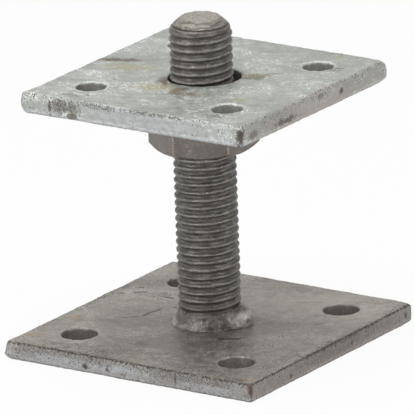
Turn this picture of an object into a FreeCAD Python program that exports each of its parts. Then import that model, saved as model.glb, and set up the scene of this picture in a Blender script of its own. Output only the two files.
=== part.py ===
"""Adjustable timber post base: a floor plate with a threaded rod welded on, and an
adjusting nut that carries a loose plate for the post.

Frame: +Z up along the rod, origin at the middle of the floor plate's underside,
plate sides parallel to X and Y, millimetres.
"""
import FreeCAD, Part

import math
import os

import Sketcher
from FreeCAD import Vector

# Driving dimensions: one row each of the document's spreadsheet.
DIMENSIONS = {
    # floor plate
    "base_side": 90.0,
    "base_thick": 6.0,
    "base_hole_dia": 12.0,      # for anchor bolts
    "base_hole_gap": 58.0,      # centre to centre, both ways
    "base_corner": 1.0,         # corner radius in plan
    "base_edge": 0.5,           # broken edges along both faces
    # plate under the post
    "top_side": 80.0,
    "top_thick": 6.5,
    "top_hole_dia": 10.0,       # for screws into the post
    "top_hole_gap": 50.0,
    "top_corner": 1.4,
    "top_edge": 0.7,
    "top_bore_dia": 22.5,       # clearance hole for the rod
    "top_shift_x": 0.75,        # the loose plate lies a little off the rod's centre
    "top_shift_y": 0.5,
    # M20 x 2.5 rod, its thread rounded and part filled by the zinc
    "rod_dia": 19.4,
    "rod_length": 98.0,
    "rod_tip_dia": 11.8,        # flat left at the chamfered end
    "rod_neck_dia": 17.4,       # where the chamfer starts
    "rod_neck_drop": 2.3,       # below the end
    "rod_shoulder_drop": 2.9,
    "thread_pitch": 2.5,
    "thread_depth": 0.8,
    "thread_start": 5.65,       # above the base plate
    "thread_start_angle": 125.0,
    "thread_turns": 35,
    # M20 nut that sets the height
    "nut_flats": 30.0,
    "nut_height": 16.0,
    "nut_play": 0.1,            # bore diameter over rod diameter
    "nut_crown_dia": 28.5,      # circle where the corner chamfer starts
    "nut_crown_slope": 30.0,    # degrees
    "nut_countersink": 1.0,
    "nut_seat": 62.5,           # underside of the nut above the floor
    # fillet weld round the foot of the rod, swollen where the bead was stopped
    "weld_reach": 1.15,         # of the even part, beyond the rod
    "weld_rise": 5.0,
    "stop_angle": 14.0,         # degrees from +X, the swelling where the bead was stopped
    "stop_reach": 4.6,
    "stop_rise": 6.2,
    "stop_shift": 3.2,          # its axis, off the rod's
    "toe_angle": 215.0,         # the broader toe across from it
    "toe_reach": 3.0,
    "toe_rise": 5.6,
    "toe_shift": 2.4,
}
BULGE = 0.66                    # of reach and rise, where the bead's convex face bends
STEPS = 24                      # straight steps in one turn of the thread


def make_sheet(doc):
    """Spreadsheet with the driving dimensions, an alias for each."""
    sheet = doc.addObject("Spreadsheet::Sheet", "Dimensions")
    for row, (alias, value) in enumerate(DIMENSIONS.items(), start=1):
        sheet.set(f"A{row}", alias)
        sheet.set(f"B{row}", str(value))
        sheet.setAlias(f"B{row}", alias)
    doc.recompute()


def bind(target, **expressions):
    """Bind properties to expressions on the sheet; a double underscore stands for a dot."""
    for name, expression in expressions.items():
        target.setExpression(name.replace("__", "."), expression)


def new_body(doc, name, label):
    body = doc.addObject("PartDesign::Body", name)
    body.Label = label
    return body


def new_sketch(body, name, role):
    """Empty sketch on one of the body's own origin planes."""
    plane = next(f for f in body.Origin.OriginFeatures if f.Role == role)
    sketch = body.newObject("Sketcher::SketchObject", name)
    sketch.AttachmentSupport = [(plane, "")]
    sketch.MapMode = "FlatFace"
    return sketch


def dimension(sketch, kind, geometry, value, name, expression):
    """Driving constraint, bound to the sheet."""
    index = sketch.addConstraint(Sketcher.Constraint(kind, *geometry, value))
    sketch.renameConstraint(index, name)
    sketch.setExpression(f"Constraints.{name}", expression)


def closed_outline(sketch, points):
    """Lines through the points, joined end to end; gives the first line's number."""
    first = sketch.GeometryCount
    count = len(points)
    for start, end in zip(points, points[1:] + points[:1]):
        sketch.addGeometry(Part.LineSegment(Vector(*start, 0), Vector(*end, 0)), False)
    for line in range(count):
        sketch.addConstraint(Sketcher.Constraint(
            "Coincident", first + line, 2, first + (line + 1) % count, 1))
    return first


def square(sketch, alias):
    """Square centred on the origin."""
    side = DIMENSIONS[alias]
    low, high = -side / 2, side / 2
    first = closed_outline(sketch, [(low, low), (high, low), (high, high), (low, high)])
    for line, direction in enumerate(("Horizontal", "Vertical") * 2):
        sketch.addConstraint(Sketcher.Constraint(direction, first + line))
    sketch.addConstraint(Sketcher.Constraint("Symmetric", first, 1, first + 1, 2, -1, 1))
    dimension(sketch, "DistanceX", (first, 1, first, 2), side, "side_x", f"Dimensions.{alias}")
    dimension(sketch, "DistanceY", (first + 1, 1, first + 1, 2), side, "side_y",
              f"Dimensions.{alias}")


def circle(sketch, centre, alias, name):
    """Circle whose diameter is on the sheet; gives its number."""
    radius = DIMENSIONS[alias] / 2
    number = sketch.addGeometry(Part.Circle(Vector(*centre, 0), Vector(0, 0, 1), radius), False)
    dimension(sketch, "Diameter", (number,), 2 * radius, name, f"Dimensions.{alias}")
    return number


def centred_circle(sketch, alias, name):
    number = circle(sketch, (0, 0), alias, name)
    sketch.addConstraint(Sketcher.Constraint("Coincident", number, 3, -1, 1))


def four_circles(sketch, dia_alias, gap_alias):
    """Circles at the corners of a square round the origin."""
    offset = DIMENSIONS[gap_alias] / 2
    corners = [(-1, -1), (1, -1), (1, 1), (-1, 1)]
    for corner, (side_x, side_y) in enumerate(corners):
        number = circle(sketch, (side_x * offset, side_y * offset), dia_alias, f"hole_{corner}")
        for kind, side in (("DistanceX", side_x), ("DistanceY", side_y)):
            ends = (-1, 1, number, 3) if side > 0 else (number, 3, -1, 1)
            dimension(sketch, kind, ends, offset, f"{kind[-1]}_{corner}",
                      f"Dimensions.{gap_alias} / 2")


def pad(body, sketch, name, length_expression):
    feature = body.newObject("PartDesign::Pad", name)
    feature.Profile = sketch
    bind(feature, Length=length_expression)
    sketch.Visibility = False
    return feature


def cut_through(body, sketch, name):
    """Pocket right through, both ways from the sketch."""
    volume = body.Shape.Volume
    feature = body.newObject("PartDesign::Pocket", name)
    feature.Profile = sketch
    feature.Type = "ThroughAll"
    feature.Midplane = True
    body.Document.recompute()
    if not body.Shape.Volume < volume:
        raise RuntimeError(f"{name} cuts nothing")
    return feature


def revolve(body, sketch, name):
    """Full turn of a profile about the rod's axis."""
    feature = body.newObject("PartDesign::Revolution", name)
    feature.Profile = sketch
    feature.ReferenceAxis = (sketch, ["V_Axis"])
    feature.Angle = 360
    body.Document.recompute()
    return feature


def edge_names(shape, wanted):
    return [f"Edge{i}" for i, edge in enumerate(shape.Edges, start=1) if wanted(edge)]


def is_upright(edge):
    start, end = edge.Vertexes[0].Point, edge.Vertexes[-1].Point
    return edge.Curve.TypeId == "Part::GeomLine" and abs(start.z - end.z) > 1


def is_level(edge):
    box = edge.BoundBox
    return box.ZLength < 1e-6


def dress(body, kind, name, base, wanted, size_property, expression):
    """Fillet or chamfer the edges of the last feature that the test picks."""
    feature = body.newObject(f"PartDesign::{kind}", name)
    feature.Base = (base, edge_names(base.Shape, wanted))
    bind(feature, **{size_property: expression})
    body.Document.recompute()
    return feature


def make_plate(doc, name, label, part, bore_alias=None):
    """Square plate with four holes, rounded corners and broken edges."""
    body = new_body(doc, name, label)
    outline = new_sketch(body, f"{name}Outline", "XY_Plane")
    square(outline, f"{part}_side")
    slab = pad(body, outline, f"{name}Slab", f"Dimensions.{part}_thick")
    doc.recompute()
    rounded = dress(body, "Fillet", f"{name}Corners", slab, is_upright, "Radius",
                    f"Dimensions.{part}_corner")
    broken = dress(body, "Chamfer", f"{name}Edges", rounded, is_level, "Size",
                   f"Dimensions.{part}_edge")
    body.Tip = broken
    holes = new_sketch(body, f"{name}HoleCentres", "XY_Plane")
    four_circles(holes, f"{part}_hole_dia", f"{part}_hole_gap")
    if bore_alias:
        centred_circle(holes, bore_alias, "bore")
    cut_through(body, holes, f"{name}Holes")
    return body


def ring(radius, height):
    """Corners of a level ring of straight steps; the first is repeated at the end."""
    return [Vector(radius * math.cos(angle), radius * math.sin(angle), height)
            for angle in step_angles(1)]


def helix(radius, start):
    """Corners of the thread's helix at one radius, from a height on the rod."""
    rise = DIMENSIONS["thread_pitch"] / STEPS
    turns = DIMENSIONS["thread_turns"]
    return [Vector(radius * math.cos(angle), radius * math.sin(angle), start + rise * step)
            for step, angle in enumerate(step_angles(turns))]


def step_angles(turns):
    first = math.radians(DIMENSIONS["thread_start_angle"])
    return [first + math.tau * step / STEPS for step in range(turns * STEPS + 1)]


def facet(*corners):
    return Part.Face(Part.makePolygon([*corners, corners[0]]))


def flat_skin(low, high):
    """Level-sided facets between two lines of corners."""
    return [facet(*corners) for corners in zip(low, low[1:], high[1:], high)]


def twisted_skin(low, high):
    """Pairs of facets between two helices of different radius."""
    faces = []
    for low_start, low_end, high_end, high_start in zip(low, low[1:], high[1:], high):
        faces.append(facet(low_start, low_end, high_end))
        faces.append(facet(low_start, high_end, high_start))
    return faces


def make_rod(doc):
    """Rod with its helical thread, skinned between the crest's helix and the root's.

    The groove starts above the weld and ends in a plain band under the chamfered end.
    """
    size = DIMENSIONS
    crest, pitch = size["rod_dia"] / 2, size["thread_pitch"]
    root = crest - size["thread_depth"]
    end = size["rod_length"]
    crests = helix(crest, size["thread_start"])
    roots = helix(root, size["thread_start"] + pitch / 2)[:-STEPS]
    foot = ring(crest, 0)
    shoulder = ring(crest, end - size["rod_shoulder_drop"])
    neck = ring(size["rod_neck_dia"] / 2, end - size["rod_neck_drop"])
    tip = ring(size["rod_tip_dia"] / 2, end)
    first_turn, last_turn = crests[:STEPS + 1], crests[-STEPS - 1:]
    faces = [facet(*foot[:-1]), facet(*tip[:-1])]
    faces += flat_skin(foot[:-1], first_turn[:-1])
    faces.append(facet(foot[-2], foot[-1], first_turn[0], first_turn[-1], first_turn[-2]))
    faces.append(facet(first_turn[0], roots[0], first_turn[-1]))
    faces += twisted_skin(crests[:-STEPS], roots)
    faces += twisted_skin(roots, crests[STEPS:])
    faces.append(facet(last_turn[0], roots[-1], last_turn[-1]))
    faces.append(facet(last_turn[0], last_turn[1], shoulder[1], shoulder[0], last_turn[-1]))
    faces += flat_skin(last_turn[1:], shoulder[1:])
    faces += flat_skin(shoulder, neck)
    faces += flat_skin(neck, tip)
    skin = Part.makeShell(faces)
    skin.sewShape()
    rod = doc.addObject("Part::Feature", "Rod")
    rod.Label = "threaded_rod"
    rod.Shape = Part.makeSolid(skin)
    bind(rod, Placement__Base__z="Dimensions.base_thick")
    return rod


def turned_blank(sketch):
    """Half section of the nut before its flats: bore, countersinks and crowned faces."""
    size = DIMENSIONS
    slope = math.radians(size["nut_crown_slope"])
    bore = (size["rod_dia"] + size["nut_play"]) / 2
    crown = size["nut_crown_dia"] / 2
    sink, height = size["nut_countersink"], size["nut_height"]
    rim = size["nut_flats"] / math.sqrt(3) + 1
    drop = (rim - crown) * math.tan(slope)
    first = closed_outline(sketch, [
        (bore, sink), (bore + sink, 0), (crown, 0), (rim, drop),
        (rim, height - drop), (crown, height), (bore + sink, height), (bore, height - sink)])
    for line, direction in ((1, "Horizontal"), (3, "Vertical"), (5, "Horizontal"),
                            (7, "Vertical")):
        sketch.addConstraint(Sketcher.Constraint(direction, first + line))
    sketch.addConstraint(Sketcher.Constraint("PointOnObject", first + 1, 1, -1))
    sketch.addConstraint(Sketcher.Constraint("Vertical", first + 1, 1, first + 5, 2))
    sketch.addConstraint(Sketcher.Constraint("Vertical", first + 1, 2, first + 5, 1))
    dimension(sketch, "DistanceX", (-1, 1, first, 1), bore, "bore_radius",
              "(Dimensions.rod_dia + Dimensions.nut_play) / 2")
    dimension(sketch, "DistanceX", (first, 1, first + 1, 1), sink, "sink_width",
              "Dimensions.nut_countersink")
    dimension(sketch, "DistanceY", (first + 1, 1, first, 1), sink, "sink_depth",
              "Dimensions.nut_countersink")
    dimension(sketch, "DistanceY", (first + 7, 1, first + 6, 1), sink, "sink_depth_top",
              "Dimensions.nut_countersink")
    dimension(sketch, "DistanceY", (first + 1, 2, first + 5, 1), height, "nut_height",
              "Dimensions.nut_height")
    dimension(sketch, "DistanceX", (-1, 1, first + 1, 2), crown, "crown_radius",
              "Dimensions.nut_crown_dia / 2")
    dimension(sketch, "DistanceX", (-1, 1, first + 3, 1), rim, "rim_radius",
              "Dimensions.nut_flats / sqrt(3) + 1")
    for name, ends in (("drop_low", (first + 1, 2, first + 2, 2)),
                       ("drop_high", (first + 3, 2, first + 5, 1))):
        dimension(sketch, "DistanceY", ends, drop, name,
                  "(Dimensions.nut_flats / sqrt(3) + 1 - Dimensions.nut_crown_dia / 2)"
                  " * tan(Dimensions.nut_crown_slope * 1 deg)")


def flats_outline(sketch):
    """Hexagon with a corner on Y, inside a circle that clears the blank."""
    across = DIMENSIONS["nut_flats"]
    reach = across / math.sqrt(3)
    clear = reach + 5
    corners = [(reach * math.cos(math.radians(30 + 60 * k)),
                reach * math.sin(math.radians(30 + 60 * k))) for k in range(6)]
    first = closed_outline(sketch, corners)
    guide = sketch.addGeometry(Part.Circle(Vector(0, 0, 0), Vector(0, 0, 1), reach), True)
    sketch.addConstraint(Sketcher.Constraint("Coincident", guide, 3, -1, 1))
    for line in range(6):
        sketch.addConstraint(Sketcher.Constraint("PointOnObject", first + line, 1, guide))
    for line in range(5):
        sketch.addConstraint(Sketcher.Constraint("Equal", first + line, first + line + 1))
    sketch.addConstraint(Sketcher.Constraint("PointOnObject", first + 1, 1, -2))
    dimension(sketch, "Diameter", (guide,), 2 * reach, "across_corners",
              "2 * Dimensions.nut_flats / sqrt(3)")
    outer = sketch.addGeometry(Part.Circle(Vector(0, 0, 0), Vector(0, 0, 1), clear), False)
    sketch.addConstraint(Sketcher.Constraint("Coincident", outer, 3, -1, 1))
    dimension(sketch, "Diameter", (outer,), 2 * clear, "clear",
              "2 * Dimensions.nut_flats / sqrt(3) + 10")


def make_nut(doc):
    """Turned blank with six flats cut on it."""
    body = new_body(doc, "Nut", "hex_nut")
    blank = new_sketch(body, "NutHalfSection", "XZ_Plane")
    turned_blank(blank)
    revolve(body, blank, "NutBlank")
    flats = new_sketch(body, "NutHexagon", "XY_Plane")
    flats_outline(flats)
    cut_through(body, flats, "NutFlats")
    bind(body, Placement__Base__z="Dimensions.nut_seat")
    return body


def make_weld_ring(doc):
    """Even part of the bead: a convex fillet, turned about the rod."""
    body = new_body(doc, "WeldRing", "WeldRing")
    sketch = new_sketch(body, "WeldHalfSection", "XZ_Plane")
    rod, reach, rise = (DIMENSIONS[k] for k in ("rod_dia", "weld_reach", "weld_rise"))
    inner = rod / 2
    first = closed_outline(sketch, [
        (inner, 0), (inner + reach, 0), (inner + BULGE * reach, BULGE * rise), (inner, rise)])
    sketch.addConstraint(Sketcher.Constraint("Horizontal", first))
    sketch.addConstraint(Sketcher.Constraint("Vertical", first + 3))
    sketch.addConstraint(Sketcher.Constraint("PointOnObject", first, 1, -1))
    dimension(sketch, "DistanceX", (-1, 1, first, 1), inner, "inner", "Dimensions.rod_dia / 2")
    dimension(sketch, "DistanceX", (first, 1, first, 2), reach, "reach",
              "Dimensions.weld_reach")
    dimension(sketch, "DistanceY", (first, 1, first + 2, 2), rise, "rise",
              "Dimensions.weld_rise")
    dimension(sketch, "DistanceX", (first, 1, first + 1, 2), BULGE * reach, "bulge_x",
              f"Dimensions.weld_reach * {BULGE}")
    dimension(sketch, "DistanceY", (first, 1, first + 1, 2), BULGE * rise, "bulge_y",
              f"Dimensions.weld_rise * {BULGE}")
    revolve(body, sketch, "WeldTurned")
    bind(body, Placement__Base__z="Dimensions.base_thick")
    return body


def make_swelling(doc, name):
    """Broader part of the bead: a cone whose axis stands off the rod's."""
    swelling = doc.addObject("Part::Cone", f"Weld{name.title()}")
    shift, turn = f"Dimensions.{name}_shift", f"Dimensions.{name}_angle * 1 deg"
    top = f"Dimensions.rod_dia / 2 - {shift}"
    bind(swelling, Radius1=f"{top} + Dimensions.{name}_reach", Radius2=top,
         Height=f"Dimensions.{name}_rise",
         Placement__Base__x=f"{shift} * cos({turn})",
         Placement__Base__y=f"{shift} * sin({turn})",
         Placement__Base__z="Dimensions.base_thick")
    return swelling


def make_weld(doc):
    """Ring and swellings in one, cut out round the rod."""
    bead = doc.addObject("Part::MultiFuse", "WeldMetal")
    bead.Shapes = [make_weld_ring(doc), make_swelling(doc, "stop"), make_swelling(doc, "toe")]
    rod_space = doc.addObject("Part::Cylinder", "WeldRodSpace")
    bind(rod_space, Radius="Dimensions.rod_dia / 2", Height="Dimensions.rod_length")
    weld = doc.addObject("Part::Cut", "Weld")
    weld.Base, weld.Tool = bead, rod_space
    weld.Label = "weld_bead"
    return weld


def build(doc):
    make_sheet(doc)
    base = make_plate(doc, "BasePlate", "base_plate", "base")
    top = make_plate(doc, "TopPlate", "top_plate", "top", bore_alias="top_bore_dia")
    bind(top, Placement__Base__x="Dimensions.top_shift_x",
         Placement__Base__y="Dimensions.top_shift_y",
         Placement__Base__z="Dimensions.nut_seat + Dimensions.nut_height")
    pieces = [base, make_rod(doc), make_weld(doc), make_nut(doc), top]
    doc.recompute()
    return pieces


def check(doc, pieces):
    for item in doc.Objects:
        if "Invalid" in item.State or "Error" in item.State:
            raise RuntimeError(f"{item.Label} failed: {item.State}")
    for piece in pieces:
        shape = piece.Shape
        if shape.isNull() or not shape.isValid() or len(shape.Solids) != 1:
            raise RuntimeError(f"{piece.Label} is not one valid solid")
        print(f"{piece.Label}: {shape.Volume / 1000:.2f} cm3, {len(shape.Faces)} faces")


document = FreeCAD.newDocument("TimberPostBase")
parts = build(document)
check(document, parts)
os.makedirs("parts", exist_ok=True)
for piece in parts:
    piece.Shape.exportStep(f"parts/{piece.Label}.step")
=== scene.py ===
import math

import bmesh
import bpy
import numpy
from mathutils import Euler, Matrix, Vector, noise


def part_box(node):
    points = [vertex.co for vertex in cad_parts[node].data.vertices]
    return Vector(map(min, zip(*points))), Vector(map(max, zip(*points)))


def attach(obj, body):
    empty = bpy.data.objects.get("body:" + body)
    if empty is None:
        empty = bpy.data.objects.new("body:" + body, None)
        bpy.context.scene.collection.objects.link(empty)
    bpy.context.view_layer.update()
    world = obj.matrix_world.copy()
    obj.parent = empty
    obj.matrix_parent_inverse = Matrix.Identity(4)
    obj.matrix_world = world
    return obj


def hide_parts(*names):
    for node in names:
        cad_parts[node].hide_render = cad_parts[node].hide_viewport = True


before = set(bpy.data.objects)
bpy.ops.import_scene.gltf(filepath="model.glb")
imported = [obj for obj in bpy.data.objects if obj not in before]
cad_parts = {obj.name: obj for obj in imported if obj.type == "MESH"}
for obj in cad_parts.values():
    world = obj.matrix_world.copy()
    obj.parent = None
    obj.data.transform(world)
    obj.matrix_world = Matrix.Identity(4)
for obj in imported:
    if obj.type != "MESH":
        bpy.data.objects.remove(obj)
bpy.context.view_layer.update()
scene = bpy.context.scene
scene.view_settings.view_transform = "Standard"
mm = 0.001


def report(stage):
    print("post base:", stage)


# node trees: a wrapper for sockets and one method for nodes

class Wire:
    # a node's output; arithmetic on it adds Math nodes
    def __init__(self, recipe, socket):
        self.recipe = recipe
        self.socket = socket

    def sibling(self, output):
        # another output of the same node
        return Wire(self.recipe, self.socket.node.outputs[output])

    def __add__(self, other):
        return self.recipe.call("ADD", self, other)

    def __radd__(self, other):
        return self.recipe.call("ADD", other, self)

    def __sub__(self, other):
        return self.recipe.call("SUBTRACT", self, other)

    def __rsub__(self, other):
        return self.recipe.call("SUBTRACT", other, self)

    def __mul__(self, other):
        return self.recipe.call("MULTIPLY", self, other)

    def __rmul__(self, other):
        return self.recipe.call("MULTIPLY", other, self)

    def __truediv__(self, other):
        return self.recipe.call("DIVIDE", self, other)

    def __rtruediv__(self, other):
        return self.recipe.call("DIVIDE", other, self)


class Recipe:
    # a node tree under construction
    def __init__(self, tree):
        self.tree = tree

    def add(self, kind, settings=None, sockets=None, output=0):
        node = self.tree.nodes.new(kind)
        for name, value in (settings or {}).items():
            if name == "stops":
                self.setStops(node.color_ramp, value)
            else:
                setattr(node, name, value)
        for name, value in (sockets or {}).items():
            # a socket takes a value, a wire, or a list of wires
            several = value if isinstance(value, (list, tuple)) else [value]
            wires = [item for item in several if isinstance(item, Wire)]
            for wire in wires:
                self.tree.links.new(wire.socket, node.inputs[name])
            if not wires:
                node.inputs[name].default_value = value
        return Wire(self, node.outputs[output]) if node.outputs else None

    def setStops(self, ramp, stops):
        while len(ramp.elements) < len(stops):
            ramp.elements.new(1.0)
        for element, (place, colour) in zip(ramp.elements, stops):
            element.position = place
            element.color = colour

    def call(self, operation, first, second=0.0):
        return self.add("ShaderNodeMath", {"operation": operation}, {0: first, 1: second})

    def smooth(self, value, low, high, least=0.0, most=1.0):
        return self.add("ShaderNodeMapRange", {"interpolation_type": "SMOOTHSTEP"},
                        {0: value, 1: low, 2: high, 3: least, 4: most})

    def mix(self, factor, first, second):
        return self.add("ShaderNodeMix", {"data_type": "RGBA"},
                        {0: factor, 6: first, 7: second}, output=2)

    def split(self, vector):
        first = self.add("ShaderNodeSeparateXYZ", {}, {0: vector})
        return first, first.sibling(1), first.sibling(2)

    def held(self, attribute):
        # a value kept on the mesh
        return self.add("ShaderNodeAttribute", {"attribute_name": attribute}, {}, output=2)

    def noise(self, coords, size, detail=3.0, roughness=0.55, distortion=0.0):
        return self.add("ShaderNodeTexNoise", {},
                        {"Vector": coords, "Scale": 1 / (size * mm), "Detail": detail,
                         "Roughness": roughness, "Distortion": distortion})


def newMaterial(name):
    material = bpy.data.materials.new(name)
    material.use_nodes = True
    material.node_tree.nodes.clear()
    return material, Recipe(material.node_tree)


def newShapeTree(name, inputs):
    # geometry tree with named inputs: its recipe, and a wire from each input
    tree = bpy.data.node_groups.new(name, "GeometryNodeTree")
    for label, kind in inputs:
        tree.interface.new_socket(label, in_out="INPUT", socket_type="NodeSocket" + kind)
    tree.interface.new_socket("Geometry", in_out="OUTPUT", socket_type="NodeSocketGeometry")
    recipe = Recipe(tree)
    given = recipe.add("NodeGroupInput")
    return recipe, [given.sibling(k) for k in range(len(inputs))]


def closeShapeTree(recipe, shape, material):
    real = recipe.add("GeometryNodeRealizeInstances", {}, {0: shape})
    painted = recipe.add("GeometryNodeSetMaterial", {}, {"Geometry": real, "Material": material})
    recipe.add("NodeGroupOutput", {}, {0: painted})
    return recipe.tree


def rgb(red, green, blue):
    # display colour, 0 to 255, as the linear colour that nodes take
    def linear(value):
        value /= 255
        return value / 12.92 if value <= 0.04045 else ((value + 0.055) / 1.055) ** 2.4
    return (linear(red), linear(green), linear(blue), 1.0)


# camera, light and floor

view = {
    "azimuth": 34.67,       # degrees round the post from -Y towards +X
    "elevation": 17.51,
    "roll": -2.04,
    "distance": 2.894,
    "lens": 819.1,
    "aim": (0.54, -6.85, 50.0),     # mm: across and up in the view, and height on the rod
}


def setCamera():
    azimuth, elevation, roll = (math.radians(view[k]) for k in ("azimuth", "elevation", "roll"))
    out = Vector((math.cos(elevation) * math.sin(azimuth),
                  -math.cos(elevation) * math.cos(azimuth), math.sin(elevation)))
    level = Vector((math.cos(azimuth), math.sin(azimuth), 0))
    upright = out.cross(level)
    right = level * math.cos(roll) + upright * math.sin(roll)
    up = upright * math.cos(roll) - level * math.sin(roll)
    across, lift, height = view["aim"]
    aim = Vector((0, 0, height * mm)) + right * across * mm + up * lift * mm
    camera = bpy.data.objects.new("camera", bpy.data.cameras.new("camera"))
    camera.data.lens = view["lens"]
    camera.data.sensor_width = 36
    camera.data.clip_end = 50
    turn = Matrix((right, up, out)).transposed().to_4x4()
    camera.matrix_world = Matrix.Translation(aim + out * view["distance"]) @ turn
    scene.collection.objects.link(camera)
    scene.camera = camera


light = {
    "world": 0.18,
    "lamps": {       # name: azimuth, elevation, distance m, size m, watts
        "keySoftbox": (-15, 10, 1.0, 0.5, 4.2),
        "topSoftbox": (-60, 82, 0.9, 0.8, 8.0),
        "rightCard": (95, 12, 1.0, 0.5, 2.2),
    },
    "paper": 0.94,      # how far the floor seen by the camera is plain white
}


def addLamp(name, azimuth, elevation, distance, size, watts):
    lamp = bpy.data.lights.new(name, "AREA")
    lamp.size = size
    lamp.energy = watts
    around, rise = math.radians(azimuth), math.radians(elevation)
    out = Vector((math.cos(rise) * math.sin(around), -math.cos(rise) * math.cos(around),
                  math.sin(rise)))
    holder = bpy.data.objects.new(name, lamp)
    holder.location = Vector((0, 0, 0.05)) + out * distance
    holder.rotation_euler = out.to_track_quat("Z", "Y").to_euler()
    scene.collection.objects.link(holder)


def whiteRays(recipe):
    # what the camera sees, and what gloss and glass show, is plain white
    camera = recipe.add("ShaderNodeLightPath", {}, {}, "Is Camera Ray")
    glossy, clear = camera.sibling("Is Glossy Ray"), camera.sibling("Is Transmission Ray")
    return recipe.call("MAXIMUM", recipe.call("MAXIMUM", camera, glossy), clear)


def setWorld():
    world = bpy.data.worlds.new("studio")
    scene.world = world
    world.use_nodes = True
    world.node_tree.nodes.clear()
    recipe = Recipe(world.node_tree)
    strength = whiteRays(recipe) * (1.0 - light["world"]) + light["world"]
    background = recipe.add("ShaderNodeBackground", {},
                            {"Color": (1, 1, 1, 1), "Strength": strength})
    recipe.add("ShaderNodeOutputWorld", {}, {"Surface": background})
    for name, place in light["lamps"].items():
        addLamp(name, *place)


def makeFloor():
    bpy.ops.mesh.primitive_plane_add(size=6, location=(0, 0, 0))
    floor = bpy.context.object
    floor.name = "floor"
    material, recipe = newMaterial("paperFloor")
    paper = recipe.add("ShaderNodeBsdfDiffuse", {}, {"Color": (0.8, 0.8, 0.8, 1)})
    glow = recipe.add("ShaderNodeEmission", {}, {"Color": (1, 1, 1, 1), "Strength": 1.0})
    surface = recipe.add("ShaderNodeMixShader", {},
                         {0: whiteRays(recipe) * light["paper"], 1: paper, 2: glow})
    recipe.add("ShaderNodeOutputMaterial", {}, {"Surface": surface})
    floor.data.materials.append(material)


# zinc: a mottled ground, and layers of marks over it

def blot(recipe, coords, wander, centre, size, angle=0.0, strength=1.0):
    # soft irregular mark: an ellipsoid with a wandering outline, 1 inside and 0 outside
    moved = recipe.add("ShaderNodeMapping", {"vector_type": "TEXTURE"},
                       {0: coords, 1: [c * mm for c in centre],
                        2: Euler((0, 0, math.radians(angle))), 3: [s * mm for s in size]})
    reach = recipe.add("ShaderNodeVectorMath", {"operation": "LENGTH"}, {0: moved}, output=1)
    # small marks wander less, or they would vanish
    return recipe.smooth(reach + wander * min(1.0, 0.3 + 0.09 * max(size)), 1.2, 0.5) * strength


def makeZinc(name, look):
    material, recipe = newMaterial(name)
    coords = recipe.add("ShaderNodeTexCoord", {}, {}, "Object")
    cloud = recipe.noise(coords, look["cloud"], 4, 0.6, 0.6)
    patch = recipe.noise(coords, look["patch"], 5, 0.65)
    grit = recipe.noise(coords, look["grit"], 3, 0.7)
    drawn = recipe.add("ShaderNodeMapping", {"vector_type": "TEXTURE"},
                       {0: coords, 2: Euler((0, 0, math.radians(look["grain"]))),
                        3: look["stretch"]})
    streak = recipe.noise(drawn, look["patch"] * 0.4, 4, 0.6)
    # four sizes of noise make the ground
    tone = cloud * 0.32 + patch * 0.32 + streak * 0.16 + grit * 0.2
    colour = recipe.add("ShaderNodeValToRGB", {"stops": [
        (0.36, look["dark"]), (0.5, look["mean"]), (0.64, look["pale"])]}, {0: tone})
    # white flecks and dark pits, gathered in drifts
    drift = (patch - 0.5) * 0.6 + (cloud - 0.5) * 0.5
    spark = recipe.smooth(grit + drift, 0.62, 0.72) * look["sparkle"]
    colour = recipe.mix(spark, colour, look["white"])
    pit = recipe.smooth(grit - drift, 0.36, 0.28) * look["pitting"]
    colour = recipe.mix(pit, colour, look["black"])
    # how far outlines of marks stray, and the relief of the ground
    wander = (patch - 0.5) * 3.4 + (grit - 0.5) * 2.6
    height = cloud * 0.25 + patch * 0.5 + grit * 0.4 - pit * 0.4 + spark * 0.2
    for layer in look["layers"]:
        colour, height = layer(recipe, coords, colour, height, wander, grit)
    roughness = recipe.smooth(patch, 0.3, 0.7, look["rough"] - 0.08, look["rough"] + 0.08)
    bump = recipe.add("ShaderNodeBump", {}, {"Strength": look["bump"],
                                             "Distance": look["relief"] * mm, "Height": height})
    surface = recipe.add("ShaderNodeBsdfPrincipled", {}, {
        "Base Color": colour, "Metallic": look["metal"], "Roughness": roughness,
        "Normal": bump})
    recipe.add("ShaderNodeOutputMaterial", {}, {"Surface": surface})
    return material


def stains(tint, marks):
    # a layer of marks of one colour, with wandering outlines and gritty gaps
    def layer(recipe, coords, colour, height, wander, grit):
        total = 0.0
        for mark in marks:
            total = blot(recipe, coords, wander, *mark) + total
        share = recipe.call("MINIMUM", total, 1.0) * recipe.smooth(grit, 0.3, 0.5, 0.55, 1.0)
        return recipe.mix(share, colour, tint), height
    return layer


def sprinkle(tint, amount, marks, size=0.6):
    # a layer of separate specks that crowd inside the marks
    def layer(recipe, coords, colour, height, wander, grit):
        total = 0.0
        for mark in marks:
            total = blot(recipe, coords, wander * 0.3, *mark) + total
        fine = recipe.noise(coords, size, 3, 0.7, 0.4)
        share = recipe.smooth(fine + recipe.call("MINIMUM", total, 1.0) * amount, 0.66, 0.71)
        return recipe.mix(share * 0.7, colour, tint), height + share * 0.2
    return layer


def along(attribute, tint, strength, low, high, broken=1.2):
    # a layer that follows a value kept on the mesh, broken up by the grit
    def layer(recipe, coords, colour, height, wander, grit):
        share = recipe.held(attribute) + (grit - 0.5) * broken + wander * 0.14
        share = recipe.smooth(share, low, high)
        return recipe.mix(share * strength, colour, tint), height
    return layer


def crumbs(attribute, tint, strength, amount):
    # a layer of separate specks that crowd where the value on the mesh is high
    def layer(recipe, coords, colour, height, wander, grit):
        fine = recipe.noise(coords, 0.55, 2, 0.6)
        share = recipe.smooth(fine + recipe.held(attribute) * amount + wander * 0.03, 0.66, 0.72)
        return recipe.mix(share * strength, colour, tint), height - share * 0.4
    return layer


# meshes: what every piece needs

def finish(piece, material, body, slot, *nodes):
    piece.data.materials.clear()
    piece.data.materials.append(material)
    piece.data.polygons.foreach_set("use_smooth", [True] * len(piece.data.polygons))
    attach(piece, body)
    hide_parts(*nodes)


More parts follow.
